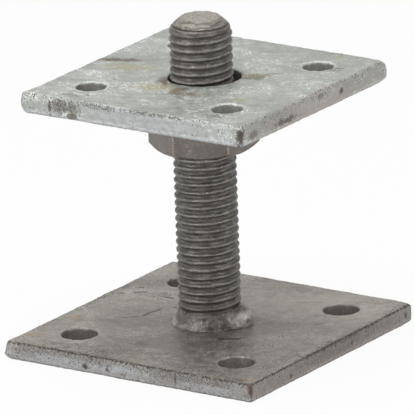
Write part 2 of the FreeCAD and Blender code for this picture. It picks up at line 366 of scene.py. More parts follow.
def newPiece(name, mesh):
    piece = bpy.data.objects.new(name, mesh)
    scene.collection.objects.link(piece)
    return piece


def bake(piece):
    # the piece with its modifiers applied, as a plain mesh
    graph = bpy.context.evaluated_depsgraph_get()
    mesh = bpy.data.meshes.new_from_object(piece.evaluated_get(graph))
    piece.modifiers.clear()
    piece.data = mesh
    return piece


def coatedCopy(name, node, voxel, passes):
    # closed copy of a solid with its edges softened as by a coat of zinc
    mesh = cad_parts[node].data.copy()
    work = bmesh.new()
    work.from_mesh(mesh)
    bmesh.ops.remove_doubles(work, verts=work.verts, dist=1e-6)
    work.to_mesh(mesh)
    work.free()
    piece = newPiece(name, mesh)
    remesh = piece.modifiers.new("coat", "REMESH")
    remesh.mode = "VOXEL"
    remesh.voxel_size = voxel * mm
    relax = piece.modifiers.new("relax", "SMOOTH")
    relax.factor = 0.5
    relax.iterations = passes
    return bake(piece)


def points(mesh, normals=False):
    source = mesh.vertex_normals if normals else mesh.vertices
    values = numpy.empty(len(mesh.vertices) * 3)
    source.foreach_get("vector" if normals else "co", values)
    return values.reshape(-1, 3)


def rough(places, size, seed, octaves=3):
    # layered noise at each place, about -1 to 1
    shift = Vector((seed, seed * 0.37, -seed * 0.71))
    return numpy.array([noise.fractal(Vector(p) / (size * mm) + shift, 1.0, 2.0, octaves)
                        for p in places])


def keep(mesh, name, values):
    mesh.attributes.new(name, "FLOAT", "POINT").data.foreach_set("value", values)


def bump(values, centre, width):
    return numpy.exp(-((values - centre) / width) ** 2)


def loft(name, rows):
    # closed skin through a loop of rings, each a list of points
    count, around = rows.shape[:2]
    index = numpy.arange(count * around).reshape(count, around)
    right = numpy.roll(index, -1, axis=1)
    above = numpy.roll(index, -1, axis=0)
    faces = numpy.stack([index, right, numpy.roll(right, -1, axis=0), above], axis=-1)
    mesh = bpy.data.meshes.new(name)
    mesh.from_pydata((rows.reshape(-1, 3) * mm).tolist(), [], faces.reshape(-1, 4).tolist())
    mesh.update()
    return newPiece(name, mesh)


def ringPoints(angles, radii, heights):
    return numpy.stack([numpy.cos(angles) * radii, numpy.sin(angles) * radii, heights], axis=-1)


# the two plates

plates = {       # sizes in mm
    "basePlate": {
        "node": "base_plate", "voxel": 0.5, "passes": 2, "seed": 3.0,
        "wave": 0.10, "waveSize": 9.0, "crust": 0.10, "crustSize": 1.2,
        "holes": 29.0, "holeRadius": 6.0, "coat": 0.3,      # coat: zinc on the holes' walls
        # left and right corners: height, and how far they reach out
        "burr": ((0, -0.1), (1.6, 1.5), (6, 0.35)),
        "nose": ((0, -0.5), (0.8, 0), (5.2, 0), (6, -0.5)),
        "bead": (0.0, 0.0),         # zinc gathered under and over the rim
        "bore": 11.2, "drip": 0.0,
        "clear": 0.01,              # gap between the sole and what it stands on
        "nodules": 90, "noduleSize": 0.28, "rimWidth": 1.2,
    },
    "topPlate": {
        "node": "top_plate", "voxel": 0.45, "passes": 4, "seed": 11.0,
        "wave": 0.12, "waveSize": 8.0, "crust": 0.16, "crustSize": 1.5,
        "holes": 25.0, "holeRadius": 5.0, "coat": 0.35,
        "burr": ((0, 0.5), (3, 1.3), (6.5, 0.9)),
        "nose": ((0, -0.7), (1.4, 0.6), (3.2, 0.9), (5.0, 0.6), (6.5, -0.7)),
        "bead": (0.45, 0.15),
        "bore": 11.2, "drip": 1.0,  # zinc gathered on one side of the bore
        "clear": 0.01,
        "nodules": 130, "noduleSize": 0.30, "rimWidth": 1.2,
    },
}
coat = {        # how far each of these reaches, in mm
    "crust": 2.2, "bead": 1.8, "hole": 0.6, "drip": 0.8, "corner": 4,
    "dripFacing": (0.66, -0.75),        # direction in plan
}


def noduleTree(material):
    # beads of zinc sown where the mesh's "lip" value is high
    recipe, (mesh, count, size, seed) = newShapeTree("zincNodules", (
        ("Geometry", "Geometry"), ("Count", "Float"), ("Size", "Float"), ("Seed", "Float")))
    lip = recipe.add("GeometryNodeInputNamedAttribute", {"data_type": "FLOAT"}, {"Name": "lip"})
    sown = recipe.add("GeometryNodeDistributePointsOnFaces", {}, {
        "Mesh": mesh, "Density": lip * count, "Seed": seed}, "Points")
    bead = recipe.add("GeometryNodeMeshIcoSphere", {}, {"Radius": 0.5, "Subdivisions": 2})
    chance = recipe.add("FunctionNodeRandomValue", {"data_type": "FLOAT_VECTOR"},
                        {0: (0.5, 0.5, 0.25), 1: (1.9, 1.4, 0.8), "Seed": 5})
    scale = recipe.add("ShaderNodeVectorMath", {"operation": "SCALE"}, {0: chance, "Scale": size})
    beads = recipe.add("GeometryNodeInstanceOnPoints", {}, {
        "Points": sown, "Instance": bead, "Rotation": sown.sibling("Rotation"), "Scale": scale})
    return closeShapeTree(recipe, recipe.add("GeometryNodeJoinGeometry", {}, {0: [mesh, beads]}),
                          material)


def setInputs(modifier, values):
    # modifier inputs by name, through their identifiers
    for item in modifier.node_group.interface.items_tree:
        if item.in_out == "INPUT" and item.name.lower() in values:
            modifier[item.identifier] = values[item.name.lower()]


def measurePlate(places, plan, low, high):
    # how far each point lies from the plate's sides, faces and holes, in mm
    fromMiddle = places - numpy.array((low + high) / 2)
    half = (high.x - low.x) / 2
    beside = numpy.abs(fromMiddle[:, :2]) - plan["holes"] * mm
    away = numpy.maximum(numpy.hypot(beside[:, 0], beside[:, 1]), 1e-6)
    return {
        "fromMiddle": fromMiddle, "beside": beside, "away": away,
        "inset": numpy.maximum(half - numpy.abs(fromMiddle[:, :2]).max(axis=1), 0) / mm,
        "upper": (places[:, 2] - low.z) / (high.z - low.z),
        "toTop": (high.z - places[:, 2]) / mm,
        "toFoot": (places[:, 2] - low.z) / mm,
        "fromHole": away / mm - plan["holeRadius"],
    }


def keepMasks(mesh, at):
    # where the layers of zinc and dirt lie, and where painted shade goes
    inset, upper, toTop, fromHole = (at[k] for k in ("inset", "upper", "toTop", "fromHole"))
    fromFoot = numpy.hypot(inset, at["toFoot"])
    keep(mesh, "lip", numpy.where(inset < 1.5, numpy.clip(upper * 1.6 - 0.6, 0, 1) ** 2, 0))
    keep(mesh, "edge", bump(numpy.hypot(inset, toTop), 0.2, 0.6))
    keep(mesh, "border", bump(inset, 0.0, 3.6) * (toTop < 1.2))
    keep(mesh, "foot", bump(fromFoot, 1.1, 0.7) * (inset < 1.0))
    keep(mesh, "sole", bump(fromFoot, 0.2, 0.5))
    keep(mesh, "side", numpy.where((inset < 0.4) & (toTop > 0.6), 1.0, 0.0))
    keep(mesh, "bore", numpy.where((fromHole < 0.25) & (toTop > 0.35), 1.0, 0.0))
    keep(mesh, "hole", bump(fromHole, 0.5, 0.7) * (upper > 0.5))


def coatRelief(places, plan, at):
    # height of the coat at each point in mm: slow waves, and a crust along the edges
    wave = plan["wave"] * (rough(places, plan["waveSize"], plan["seed"]) - 0.6)
    crust = rough(places, plan["crustSize"], plan["seed"] + 5)
    nearEdge = numpy.clip(1 - at["inset"] / coat["crust"], 0, 1)
    nearHole = bump(at["fromHole"], 0.0, 1.0)
    return wave + plan["crust"] * numpy.maximum(nearEdge, nearHole * 0.7) * crust


def swellCorners(places, plan, at, low, high):
    # out along the diagonal, by a reach that changes with height
    for profile, tip, sense in ((plan["burr"], low, -0.71), (plan["nose"], high, 0.71)):
        corner = numpy.hypot(places[:, 0] - tip.x, places[:, 1] - tip.y) / mm
        fade = numpy.exp(-(corner / coat["corner"]) ** 2)
        reach = numpy.interp(at["toFoot"], *zip(*profile)) * fade
        places[:, :2] += (reach * sense * mm)[:, None]


def narrowHoles(places, plan, at):
    beyond = numpy.maximum(at["fromHole"], 0)
    closing = plan["coat"] * numpy.exp(-(beyond / coat["hole"]) ** 2) * mm / at["away"]
    places[:, :2] -= numpy.sign(at["fromMiddle"][:, :2]) * at["beside"] * closing[:, None]


def thickenRim(places, plan, at):
    under, over = plan["bead"]
    gathered = numpy.exp(-(at["inset"] / coat["bead"]) ** 2) * mm
    places[:, 2] += gathered * numpy.interp(at["upper"], (0, 0.5, 1), (-under, 0, over))


def thickenBore(places, plan, at):
    # most on the side that dripFacing points to
    across = at["fromMiddle"][:, :2]
    radius = numpy.hypot(across[:, 0], across[:, 1]) / mm
    x, y = coat["dripFacing"]
    facing = (across[:, 0] * x + across[:, 1] * y) / mm / numpy.maximum(radius, 1)
    fade = numpy.exp(-(numpy.maximum(radius - plan["bore"], 0) / coat["drip"]) ** 2)
    drip = plan["drip"] * numpy.clip(facing, 0, 1) ** 2 * fade
    # across over radius is one millimetre outwards
    places[:, :2] -= (across / numpy.maximum(radius, 1)[:, None]) * drip[:, None]


def makePlate(name, material):
    plan = plates[name]
    piece = coatedCopy(name, plan["node"], plan["voxel"], plan["passes"])
    mesh = piece.data
    low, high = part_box(plan["node"])
    places, normals = points(mesh), points(mesh, True)
    at = measurePlate(places, plan, low, high)
    keepMasks(mesh, at)
    places = places + normals * coatRelief(places, plan, at)[:, None] * mm
    swellCorners(places, plan, at, low, high)
    narrowHoles(places, plan, at)
    thickenRim(places, plan, at)
    thickenBore(places, plan, at)
    lowest = low.z + (plan["clear"] - plan["bead"][0]) * mm
    places[:, 2] = numpy.maximum(places[:, 2], lowest)
    mesh.vertices.foreach_set("co", places.ravel())
    mesh.update()
    sow = piece.modifiers.new("nodules", "NODES")
    sow.node_group = noduleTree(material)
    rim = 4 * (high.x - low.x) * plan["rimWidth"] * mm
    setInputs(sow, {"count": plan["nodules"] / rim, "size": plan["noduleSize"] * mm,
                    "seed": plan["seed"]})
    return bake(piece)


# each mark: centre and half size in mm, angle in degrees, and strength for stains

zincTop = {
    "cloud": 16, "patch": 3.4, "grit": 0.7, "grain": 35, "stretch": (6.0, 1.0, 1.0),
    "dark": rgb(122, 126, 119), "mean": rgb(156, 159, 153), "pale": rgb(190, 194, 188),
    "white": rgb(226, 230, 225), "black": rgb(84, 82, 76),
    "sparkle": 0.7, "pitting": 0.4, "rough": 0.5, "bump": 0.6, "relief": 0.25, "metal": 0.5,
    "layers": [
        # brown marks on the top face, with yellow clouds round them
        stains(rgb(96, 88, 68), [
            ((-35, 1.5, 85), (5, 1.7, 2), 20, 1.0), ((-29, 3.8, 85), (3.6, 1.3, 1), 25, 0.9),
            ((-5.8, -11.7, 85), (4.5, 1.0, 1), -55, 1.0),
            ((-8.5, -8.5, 85), (3.4, 1.6, 1), 120, 0.7),
            ((2, -15, 85), (4.2, 2.4, 1), 20, 0.7), ((-19.5, -33, 85), (1.3, 0.8, 1), 0, 0.7),
            ((-22, -15, 85), (0.7, 0.6, 1), 0, 0.8), ((0.5, -34, 85), (0.7, 0.5, 1), 0, 0.8),
            ((15, 6, 85), (5, 2.2, 1), 30, 0.55), ((18, 12, 85), (4, 1.2, 1), 40, 0.5)]),
        stains(rgb(152, 146, 112), [
            ((-25, -2.5, 85), (8, 4, 1), 20, 0.6), ((24, -16, 85), (3.4, 2, 1), 0, 0.5),
            ((27, 36, 85), (3, 1.6, 1), 0, 0.5), ((14, 8, 85), (6, 2.5, 1), 30, 0.6),
            ((-5.6, -16, 85), (7.5, 3.6, 1), 10, 0.8)]),
        # rust in front of the rod
        stains(rgb(128, 112, 98), [((5, -17.5, 85), (5.4, 2.6, 1), 10, 0.7)]),
        # white bloom
        sprinkle(rgb(212, 215, 210), 0.12, [
            ((-32, 13, 85), (9, 6, 1), 25), ((32, 23, 85), (7, 5, 1), 0),
            ((12, 14, 85), (10, 5, 1), 20), ((30, -36, 84), (10, 5, 2), 0),
            ((20, -8, 85), (12, 4, 1), 40), ((-14, -20, 85), (12, 7, 1), 20)], 0.8),
        # the -Y and +X sides, their feet and edges
        stains(rgb(180, 182, 185), [((4, -39.5, 82), (40, 1.5, 4), 0, 0.5)]),
        stains(rgb(176, 168, 160), [((40.6, 0, 82), (1.5, 42, 4), 0, 0.6)]),
        along("foot", rgb(208, 211, 216), 0.6, 0.45, 1.05),
        stains(rgb(166, 158, 150), [((40.6, 0, 79), (1.8, 41, 2), 0, 0.75)]),
        along("edge", rgb(198, 202, 198), 0.3, 0.5, 1.1),
        crumbs("edge", rgb(62, 60, 54), 0.8, 0.16),
        crumbs("border", rgb(88, 86, 80), 0.5, 0.08),
        # crust on the -Y side, and dirt in specks on both sides
        stains(rgb(128, 123, 114), [((-24, -39.8, 82.4), (6.6, 1.2, 3.2), 0, 0.6)]),
        sprinkle(rgb(74, 70, 63), 0.2, [
            ((-24.2, -39.6, 82.4), (6.6, 1.2, 3), 0), ((-12, -39.6, 84), (8, 1.2, 1.2), 0),
            ((-24, -35, 85), (4, 2, 1), 0), ((8, -39, 84.4), (14, 1.2, 0.9), 0),
            ((-32, 3, 85), (8, 3, 1), 25), ((-7, -11, 85), (4, 3, 1), 0),
            ((26, -33, 85), (5, 3, 1), 0), ((32, 25, 85), (4, 3, 1), 30),
            ((15, 7, 85), (6, 4, 1), 30), ((40.4, -39, 82), (2.4, 2.4, 5), 0)], 0.5),
        sprinkle(rgb(84, 78, 71), 0.11, [
            ((40.6, -22, 82.5), (1.2, 12, 2.5), 0), ((40.6, 2, 84), (1.2, 14, 1.6), 0),
            ((40.6, 24, 83), (1.2, 10, 2), 0), ((39, 8, 85), (3, 14, 1), 0)], 0.5),
        # dark chips on the sides and the front corner
        stains(rgb(82, 76, 66), [
            ((-29.3, -39.6, 81.8), (0.7, 1, 3.6), 0, 0.9),
            ((-21, -39.6, 79.6), (3.2, 1, 1.0), 0, 0.7),
            ((40.6, 15.5, 82), (1.2, 1.3, 1.1), 0, 1.0),
            ((40.6, -15, 80.6), (1.2, 6, 1.2), 0, 0.85),
            ((40.6, -33, 81), (1.2, 3, 1.4), 0, 0.6), ((40.6, 4, 83), (1.2, 2, 1.2), 0, 0.5),
            ((40.5, -39.3, 82), (1.3, 1.3, 4.2), 0, 1.0)]),
        # walls of the holes, darkened as painted shade, and pale rims round them
        along("bore", rgb(140, 139, 134), 0.85, 0.4, 0.8, 0.5),
        # painted shadow on the bore's wall to the right, in the gap round the rod
        stains(rgb(52, 49, 45), [((10.4, 6.6, 81.2), (4.5, 4.5, 3.4), 0, 0.85)]),
        along("hole", rgb(214, 218, 212), 0.4, 0.5, 1.1),
    ],
}
zincBase = {
    "cloud": 18, "patch": 3.2, "grit": 0.8, "grain": 10, "stretch": (4.0, 1.0, 1.0),
    "dark": rgb(102, 96, 89), "mean": rgb(142, 137, 129), "pale": rgb(178, 173, 165),
    "white": rgb(186, 182, 175), "black": rgb(72, 64, 56),
    "sparkle": 0.2, "pitting": 0.55, "rough": 0.5, "bump": 0.55, "relief": 0.22, "metal": 0.5,
    "layers": [
        # painted light behind the rod, and painted shadow of the top plate in front of it
        stains(rgb(176, 170, 161), [((20, 28, 6), (24, 14, 2), 10, 0.8)]),
        stains(rgb(112, 106, 100), [((4, -24, 6), (22, 11, 2), 20, 0.4)]),
        # the sides
        along("side", rgb(144, 142, 141), 0.7, 0.35, 0.95, 0.7),
        stains(rgb(132, 121, 114), [((45, 0, 3), (2, 46, 5), 0, 0.6)]),
        stains(rgb(122, 118, 117), [((26, -45, 3), (18, 2, 4), 0, 0.5)]),
        stains(rgb(170, 172, 176), [((-26, -45, 2.4), (16, 2, 1.4), 0, 0.6),
                                    ((-2, -45, 3), (10, 2, 1.1), 0, 0.6),
                                    ((30, -45, 2.4), (10, 2, 1.0), 0, 0.5)]),
        # dirt in specks, coarse along the edges and fine over the faces
        sprinkle(rgb(62, 57, 52), 0.17, [
            ((-43.6, 7, 6), (2, 20, 1), 0), ((-14, -44, 5.8), (22, 2, 0.7), 0),
            ((45, 6, 5.4), (2, 26, 0.9), 0), ((-22, -40, 6), (16, 3, 1), 0)], 0.7),
        sprinkle(rgb(70, 67, 64), 0.15, [
            ((-38, -45, 4), (7, 2, 3), 0), ((-20, -45, 5), (16, 2, 1.5), 0),
            ((-8, -37, 6), (18, 5, 1), 0), ((30, -45, 4.6), (12, 2, 1.6), 0),
            ((14, -45, 4.6), (16, 2, 1.8), 0), ((45, 5, 4), (2, 34, 2.5), 0),
            ((-38, 22, 6), (5, 16, 1), -35), ((-30, 14, 6), (9, 3, 1), 20),
            ((20, -40, 6), (16, 3, 1), 0), ((40, -20, 6), (3, 18, 1), 0)], 0.5),
        # dark marks on the top face
        stains(rgb(84, 79, 72), [
            ((-35.6, 14, 6), (2.4, 0.9, 1), 30, 1.0), ((-40.3, 10.4, 6), (2, 0.8, 1), 20, 1.0),
            ((-25, 13.7, 6), (3.2, 0.7, 1), 0, 1.0), ((-38, 18, 6), (1.6, 1, 1), 40, 0.9),
            ((-7, -28, 6), (3.4, 2, 1), 20, 0.4), ((-24.5, -37.4, 6), (0.8, 0.6, 1), 0, 0.8),
            ((5.4, -32.3, 6), (0.8, 0.6, 1), 0, 0.8), ((15, -11.1, 6), (3, 1.1, 1), 25, 0.95),
            ((12.5, -13, 6), (2, 0.8, 1), 0, 0.8), ((43.5, 1, 6), (1.5, 1, 1), 0, 0.7),
            ((43.5, -5, 6), (1.2, 0.8, 1), 0, 0.7), ((43, -15, 6), (1.4, 0.8, 1), 0, 0.6),
            ((40, -43, 6), (2, 1, 1), 0, 0.8), ((31, 14, 6), (2.4, 0.5, 1), 60, 0.6),
            ((-17.5, 6.5, 6), (1.8, 0.5, 1), -35, 0.8), ((16, 30, 6), (5, 0.5, 1), 30, 0.4)]),
        # scratches, then rust near the edges
        stains(rgb(72, 67, 61), [
            ((-24.2, -7.6, 6), (3.6, 0.6, 1), 40, 1.0), ((-21.7, -3.3, 6), (0.6, 3, 1), 0, 1.0),
            ((-21.1, 1.2, 6), (0.6, 2.8, 1), -12, 0.9)]),
        stains(rgb(150, 116, 84), [
            ((-40, -16.5, 6), (2.4, 1.4, 1), 10, 0.55), ((-42, -37, 6), (2.2, 1.4, 1), 0, 0.6),
            ((-4.6, -37.7, 6), (3, 0.6, 1), 20, 0.6), ((41, -42, 6), (1.8, 1.1, 1), 0, 0.6)]),
        # chips on the sides and the front corner
        stains(rgb(52, 50, 48), [
            ((-16.1, -45, 2), (1.2, 1, 1.2), 0, 1.0), ((-7.9, -45, 2.4), (0.7, 1, 0.7), 0, 0.8),
            ((-2.4, -45, 1.6), (0.7, 1, 0.7), 0, 0.8), ((17.3, -45, 3), (0.4, 1, 2.8), 0, 0.7),
            ((45, -23, 2.3), (1, 0.7, 0.7), 0, 0.8), ((45, 10.7, 3), (1, 0.7, 0.7), 0, 0.8),
            ((45, 41, 3), (1, 0.9, 0.9), 0, 0.8), ((45, -45, 3), (0.9, 0.9, 3.8), 0, 1.0)]),
        stains(rgb(96, 66, 50), [((45, -45, 4), (1.6, 1.6, 3.0), 0, 0.6)]),
        # feet, edges and sides, painted shade along the bottom edge, and walls of the holes darkened
        # as painted shade, with their rims
        along("foot", rgb(178, 178, 180), 0.4, 0.5, 1.1),
        along("edge", rgb(62, 55, 49), 0.85, 0.6, 1.05, 1.5),
        # painted shade along the bottom edge, where the plate meets the floor
        along("sole", rgb(60, 56, 52), 0.8, 0.6, 1.1),
        crumbs("edge", rgb(44, 40, 36), 0.9, 0.2),
        crumbs("side", rgb(88, 86, 83), 0.7, 0.08),
        crumbs("border", rgb(78, 72, 66), 0.7, 0.11),
        # painted shade inside the holes
        along("bore", rgb(96, 91, 87), 0.7, 0.4, 0.8, 0.5),
        along("hole", rgb(166, 162, 156), 0.4, 0.5, 1.2),
    ],
}


# threaded rod

rod = {         # mm, heights from the base plate's top unless said
    "foot": 6.0, "length": 98.0,
    "crest": 9.84, "depth": 0.68, "pitch": 2.5,
    "start": 3.15, "startAngle": 125.0, "turns": 37,
    "shoulder": 93.2, "neckHeight": 95.5, "neck": 8.8, "tip": 5.9,
    "around": 120, "rowsPerPitch": 10,
    "wander": 0.22, "lumpSize": 4.0, "grainSize": 0.9,      # unevenness of the crests
    "worn": 0.4, "ledgeWidth": 0.35, "ledgeDepth": 0.3,     # the bevel, and the step round it
    "dome": 0.25, "domeDrop": 0.15,     # unevenness of the end, and how far it lies below length
    "mergeWithin": 0.008,       # points this close become one
    "threadTop": 101.0, "bareFrom": 101.6,      # heights above the floor
}


def threadTree(material):
    # helical rows of a grid wound round Z, drawn in to a closed end at top and foot
    labels = ("Length", "Crest", "Depth", "Pitch", "Start", "Start turn", "Turns",
              "Shoulder", "Neck height", "Neck", "Tip", "Foot", "Around", "Rows")
    recipe, wires = newShapeTree("rolledThread", [
        (label, "Int" if label in ("Around", "Rows") else "Float") for label in labels])
    (length, crest, depth, pitch, start, startTurn, turns, shoulder, neckHeight, neck, tip,
     foot, around, rows) = wires
    grid = recipe.add("GeometryNodeMeshGrid", {}, {
        "Size X": 1.0, "Size Y": 1.0, "Vertices X": around + 1, "Vertices Y": rows})
    x, y = recipe.split(recipe.add("GeometryNodeInputPosition"))[:2]
    # height along the helix, held between foot and top; what lies beyond closes in
    turn = x + 0.5
    climb = (y + 0.5) * (length + pitch * 3) - pitch * 2
    raw = climb + turn * pitch
    height = recipe.call("MINIMUM", recipe.call("MAXIMUM", raw, 0.0), length)
    outside = recipe.call("ABSOLUTE", raw - height) / pitch
    shrink = 1.0 - recipe.call("MINIMUM", outside, 1.0)
    angle = turn * math.tau
    cosine, sine = recipe.call("COSINE", angle), recipe.call("SINE", angle)
    bare = recipe.add("ShaderNodeCombineXYZ", {}, {
        0: cosine * crest, 1: sine * crest, 2: height})
    lumps = recipe.noise(bare, rod["lumpSize"], 3) - 0.5
    grain = recipe.noise(bare, rod["grainSize"], 3) - 0.5
    # distance from the nearest crest, 0 on it and 1 in the root
    crests = climb - start + startTurn * pitch
    # (half a turn puts it on 0.5, and 20 whole ones keep the sum above zero)
    phase = recipe.call("FRACT", crests / pitch + 20.5 + lumps * rod["wander"])
    ridge = recipe.call("ABSOLUTE", phase - 0.5) * 2.0
    groove = recipe.smooth(ridge + lumps * 0.5 + grain * 0.3, 0.06, 0.8)
    # the groove begins and ends on one turn, and leaves plain bands beyond
    lead = recipe.call("FRACT", turn - startTurn + 1.0) * pitch + start
    cut = recipe.call("GREATER_THAN", raw, lead)
    cut = cut * recipe.call("LESS_THAN", raw, lead + (turns - 1.0) * pitch)
    radius = crest - groove * cut * depth * (lumps * 0.9 + 1.0) + (grain - 0.4) * 0.2 * mm
    # the bevel: two cones, worn, with a step round it where they meet
    step = crest - (height - shoulder) * ((crest - neck) / (neckHeight - shoulder))
    cone = neck - (height - neckHeight) * ((neck - tip) / (length - neckHeight))
    worn = recipe.call("MINIMUM", step, cone) + (lumps + grain) * rod["worn"] * mm
    radius = recipe.call("MINIMUM", recipe.call("MINIMUM", radius, worn), crest)
    ledge = recipe.call("ABSOLUTE", height - neckHeight) / (rod["ledgeWidth"] * mm)
    ledge = recipe.smooth(ledge + lumps, 1.0, 0.2) * rod["ledgeDepth"] * mm
    radius = (radius - ledge) * shrink
    dome = (1.0 - shrink * shrink) * rod["dome"] * mm + (lumps + grain) * rod["dome"] * mm
    dome = (dome - rod["domeDrop"] * mm) * recipe.call("GREATER_THAN", raw, length)
    where = recipe.add("ShaderNodeCombineXYZ", {}, {
        0: cosine * radius, 1: sine * radius, 2: height + foot + dome})
    wound = recipe.add("GeometryNodeSetPosition", {}, {"Geometry": grid, "Position": where})
    sealed = recipe.add("GeometryNodeMergeByDistance", {},
                        {"Geometry": wound, "Distance": rod["mergeWithin"] * mm})
    return closeShapeTree(recipe, sealed, material)


def makeRod(material):
    piece = newPiece("threadedRod", bpy.data.meshes.new("threadedRod"))
    wind = piece.modifiers.new("thread", "NODES")
    wind.node_group = threadTree(material)
    rows = round((rod["length"] / rod["pitch"] + 3) * rod["rowsPerPitch"]) + 1
    sizes = {label: rod[key] * mm for label, key in {
        "length": "length", "crest": "crest", "depth": "depth", "pitch": "pitch",
        "start": "start", "shoulder": "shoulder", "neck height": "neckHeight",
        "neck": "neck", "tip": "tip", "foot": "foot"}.items()}
    setInputs(wind, {**sizes, "start turn": rod["startAngle"] / 360,
                     "turns": float(rod["turns"]), "around": rod["around"], "rows": rows})
    return bake(piece)


def threadShade(recipe, coords, colour, height, wander, grit):
    # crests pale with a painted highlight and wear, roots dark with painted shade, lines drawn along
    # the thread, and the plain band above it
    x, y, z = recipe.split(coords)
    radius = recipe.call("SQRT", x * x + y * y) / mm
    top = rod["threadTop"]
    threaded = recipe.smooth(z / mm, top + 0.1, top - 0.1)
    # painted shade darkens the roots from 9.6 mm inwards, and a painted highlight, with wear,
    # lightens the crests from 9.56 mm outwards
    root = recipe.smooth(radius + wander * 0.1, 9.6, 9.25) * threaded
    colour = recipe.mix(root * 0.6, colour, rgb(60, 54, 49))
    rubAndHighlight = recipe.smooth(radius + wander * 0.12, 9.56, 9.78) * threaded
    colour = recipe.mix(rubAndHighlight * 0.32, colour, rgb(152, 149, 144))
    fine = recipe.noise(coords, 0.5, 3, 0.7)
    fleck = recipe.smooth(fine + rubAndHighlight * 0.08, 0.64, 0.7)
    colour = recipe.mix(fleck * 0.6, colour, rgb(196, 190, 182))
    turn = recipe.call("ARCTAN2", y, x)
    drawn = recipe.add("ShaderNodeCombineXYZ", {}, {1: turn * 1.6 * mm, 2: z})
    line = recipe.noise(drawn, 0.7, 3, 0.65)
    colour = recipe.mix(recipe.smooth(line, 0.48, 0.38) * 0.5, colour, rgb(56, 53, 50))
    colour = recipe.mix(recipe.smooth(line, 0.54, 0.62) * 0.38, colour, rgb(148, 145, 140))
    colour = recipe.mix((1.0 - threaded) * 0.4, colour, rgb(112, 103, 98))
    return colour, height + line * 0.6


def endShade(recipe, coords, colour, height, wander, grit):
    # the bare end, scored round its bevel, and the dark crust under it
    x, y, z = recipe.split(coords)
    radius = recipe.call("SQRT", x * x + y * y) / mm
    turn = recipe.call("ARCTAN2", y, x)
    fine = recipe.noise(coords, 0.5, 3, 0.7)
    low = rod["bareFrom"]
    end = recipe.smooth(z / mm + wander * 0.15, low, low + 0.3)
    scored = recipe.add("ShaderNodeCombineXYZ", {}, {0: radius * mm, 1: turn * mm, 2: z * 0.5})
    speck = recipe.smooth(recipe.noise(scored, 0.4, 2, 0.6) * 0.6 + fine * 0.4, 0.4, 0.6)
    bevel = recipe.smooth(radius, 5.4, 6.6)
    dull = recipe.mix(bevel, rgb(116, 111, 103), rgb(80, 76, 70))
    bright = recipe.mix(bevel, rgb(168, 163, 154), rgb(142, 136, 128))
    colour = recipe.mix(end * 0.9, colour, recipe.mix(speck, dull, bright))
    crust = 1.0 - recipe.call("ABSOLUTE", z / mm - low) / 0.4
    crust = recipe.smooth(crust + wander * 0.25 + (fine - 0.5), 0.1, 0.6)
    colour = recipe.mix(crust * 0.85, colour, rgb(50, 44, 39))
    return colour, height + end * fine * 1.5


def scorch(recipe, coords, colour, height, wander, grit):
    # darker where the heat of the weld reached
    z = recipe.split(coords)[2]
    burnt = recipe.smooth(z / mm + wander * 0.5, 15.0, 12.0)
    return recipe.mix(burnt * 0.55, colour, rgb(82, 75, 75)), height


zincRod = {
    "cloud": 12, "patch": 2.6, "grit": 0.6, "grain": 0, "stretch": (1.0, 1.0, 3.0),
    "dark": rgb(91, 88, 84), "mean": rgb(107, 104, 100), "pale": rgb(126, 122, 117),
    "white": rgb(178, 174, 166), "black": rgb(52, 47, 42),
    "sparkle": 0.35, "pitting": 0.4, "rough": 0.5, "bump": 0.75, "relief": 0.2, "metal": 0.55,
    "layers": [
        threadShade,
        endShade,
        scorch,
        # two dark spots on the side that shows
        stains(rgb(44, 40, 36), [((7.5, -6.0, 64), (1.2, 1.2, 0.9), 0, 0.9),
                                 ((2.0, -9.4, 37), (1.3, 1.2, 1.0), 0, 0.8)])],
}


# nut

nut = {         # mm
    "low": 62.5, "high": 78.5, "flats": 15.0, "bore": 9.85,
    "countersink": 10.9, "sinkDepth": 1.0,
    "crown": 14.25, "crownSlope": 1.732,        # corners cut back at 30 degrees
    "roundness": 60, "around": 288, "turn": 0.0,
    "clear": 0.02, "lip": 0.05,                 # off each end, and edge of the countersink
    # rings near each end, then evenly between
    "endRings": (0, 0.08, 0.2, 0.35, 0.5, 0.7, 0.9, 1.1, 1.3, 1.5, 1.7, 1.9, 2.2),
    "flatFrom": 2.8, "flatRings": 22, "boreRings": 12,
    "outer": 12.5, "relief": 0.05, "reliefSize": 3.0, "seed": 21.0, "ridgeWidth": 0.14,
}


